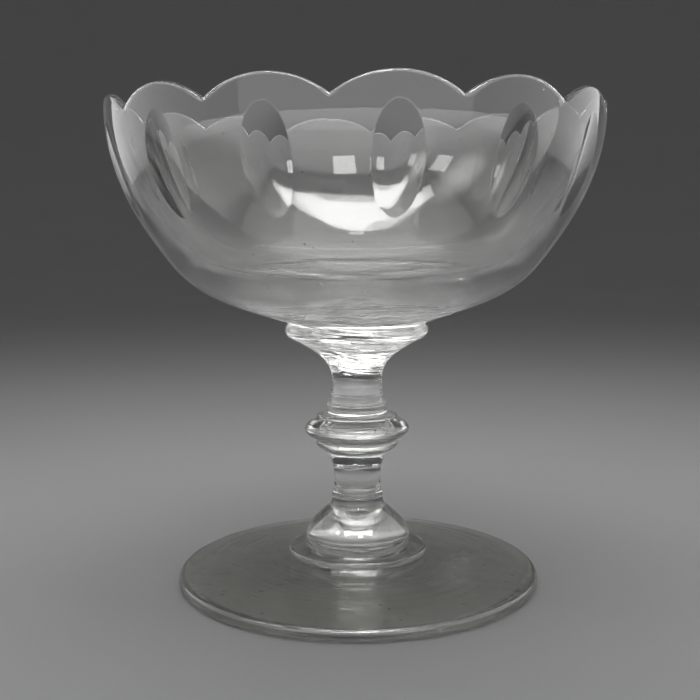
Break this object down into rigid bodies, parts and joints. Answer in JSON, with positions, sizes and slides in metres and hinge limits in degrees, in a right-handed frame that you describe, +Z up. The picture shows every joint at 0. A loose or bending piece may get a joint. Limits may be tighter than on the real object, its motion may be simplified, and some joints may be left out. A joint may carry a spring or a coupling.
{
  "type": "footed glass bowl",
  "caption": "Clear glass bowl with a scalloped rim and a ring of olive cuts, on a knopped stem and a wide round foot",
  "frame": {"origin": "the middle of the ring that the foot rests on, on the table plane", "axes": "+Z points up along the stem; the camera of the picture looks along +Y, and +X points to its right"},
  "size_m": [0.16, 0.16, 0.1584],
  "materials": {
    "foot_glass": "clear, fire polished on top, ground dull on the ring it rests on",
    "stem_glass": "clear, fire polished",
    "collar_glass": "clear, fire polished, with fine striae",
    "bowl_glass": "clear, polished, with polished olive cuts"
  },
  "bodies": {
    "root": {"foot_disc": "foot_glass", "boss_ring": "foot_glass", "foot_boss": "foot_glass", "stem_foot_ring": "stem_glass", "lower_stem": "stem_glass", "knop_base": "stem_glass", "knop_flange": "stem_glass", "knop_shoulder": "stem_glass", "knop_bead": "stem_glass", "upper_stem": "stem_glass", "bowl_collar": "collar_glass", "bowl": "bowl_glass"}
  },
  "joints": []
}
